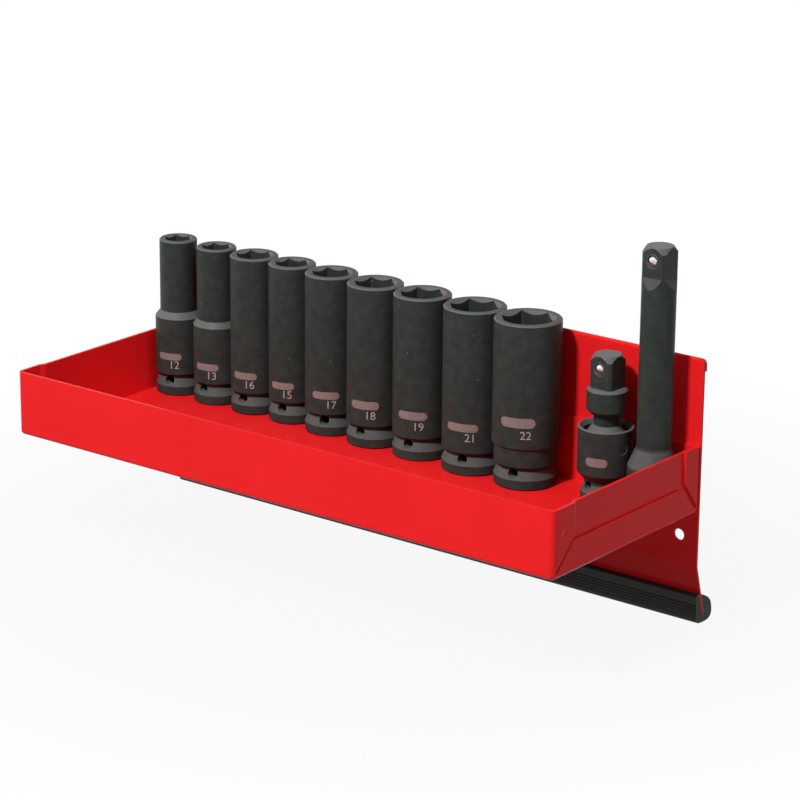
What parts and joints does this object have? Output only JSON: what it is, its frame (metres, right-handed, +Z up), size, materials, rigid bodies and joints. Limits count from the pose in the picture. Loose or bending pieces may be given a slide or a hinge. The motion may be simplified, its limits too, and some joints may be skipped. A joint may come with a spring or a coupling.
{
  "type": "socket organizer tray",
  "caption": "Wall-hung sheet-metal tray with a row of deep hexagon sockets, a swivel joint and an extension bar that lift out, and a rubber-capped lower lip.",
  "frame": {"origin": "on the back plate's rear face, midway between the two screw holes", "axes": "+X along the tray to the right seen from the front, +Y to the wall, +Z up"},
  "size_m": [0.32, 0.1297, 0.1822],
  "materials": {
    "red_paint": "gloss",
    "black_rubber": "matte, finely ribbed",
    "black_steel": "satin black phosphate coat on steel",
    "bright_steel": "polished",
    "spring_steel": "bright wire"
  },
  "bodies": {
    "tray": {"tray_pan": "red_paint", "back_plate": "red_paint", "edge_trim": "black_rubber"},
    "socket_12": {"socket_12": "black_steel"},
    "socket_13": {"socket_13": "black_steel"},
    "socket_16": {"socket_16": "black_steel"},
    "socket_15": {"socket_15": "black_steel"},
    "socket_17": {"socket_17": "black_steel"},
    "socket_18": {"socket_18": "black_steel"},
    "socket_19": {"socket_19": "black_steel"},
    "socket_21": {"socket_21": "black_steel"},
    "socket_22": {"socket_22": "black_steel"},
    "joint_housing": {"joint_housing": "black_steel"},
    "joint_pin": {"joint_pin": "black_steel"},
    "joint_head": {"joint_head": "black_steel", "joint_detent_spring": "spring_steel"},
    "joint_detent": {"joint_detent_ball": "bright_steel"},
    "extension_bar": {"extension_bar": "black_steel", "extension_detent_spring": "spring_steel"},
    "extension_detent": {"extension_detent_ball": "bright_steel"}
  },
  "joints": [
    {"name": "lift_socket_12", "type": "slide", "parent": "tray", "child": "socket_12", "axis": [0, 0, 1], "range_m": [0, 0.1]},
    {"name": "lift_socket_13", "type": "slide", "parent": "tray", "child": "socket_13", "axis": [0, 0, 1], "range_m": [0, 0.1]},
    {"name": "lift_socket_16", "type": "slide", "parent": "tray", "child": "socket_16", "axis": [0, 0, 1], "range_m": [0, 0.1]},
    {"name": "lift_socket_15", "type": "slide", "parent": "tray", "child": "socket_15", "axis": [0, 0, 1], "range_m": [0, 0.1]},
    {"name": "lift_socket_17", "type": "slide", "parent": "tray", "child": "socket_17", "axis": [0, 0, 1], "range_m": [0, 0.1]},
    {"name": "lift_socket_18", "type": "slide", "parent": "tray", "child": "socket_18", "axis": [0, 0, 1], "range_m": [0, 0.1]},
    {"name": "lift_socket_19", "type": "slide", "parent": "tray", "child": "socket_19", "axis": [0, 0, 1], "range_m": [0, 0.1]},
    {"name": "lift_socket_21", "type": "slide", "parent": "tray", "child": "socket_21", "axis": [0, 0, 1], "range_m": [0, 0.1]},
    {"name": "lift_socket_22", "type": "slide", "parent": "tray", "child": "socket_22", "axis": [0, 0, 1], "range_m": [0, 0.1]},
    {"name": "lift_swivel_joint", "type": "slide", "parent": "tray", "child": "joint_housing", "axis": [0, 0, 1], "range_m": [0, 0.1]},
    {"name": "swivel_about_pin", "type": "hinge", "parent": "joint_housing", "child": "joint_pin", "pos_m": [0.1179, -0.01595, 0.0422], "axis": [0.9455, -0.3256, 0], "range_deg": [-4, 20]},
    {"name": "swivel_on_pin", "type": "hinge", "parent": "joint_pin", "child": "joint_head", "pos_m": [0.1179, -0.01595, 0.0422], "axis": [0.3256, 0.9455, 0], "range_deg": [-20, 12]},
    {"name": "press_joint_detent", "type": "slide", "parent": "joint_head", "child": "joint_detent", "axis": [0.0872, 0.9962, 0], "range_m": [0, 0.0009], "stiffness_N_per_m": 2000, "springref_m": -0.001},
    {"name": "lift_extension_bar", "type": "slide", "parent": "tray", "child": "extension_bar", "axis": [0, 0, 1], "range_m": [0, 0.1]},
    {"name": "press_extension_detent", "type": "slide", "parent": "extension_bar", "child": "extension_detent", "axis": [-0.0262, 0.9997, 0], "range_m": [0, 0.0009], "stiffness_N_per_m": 2000, "springref_m": -0.001}
  ]
}
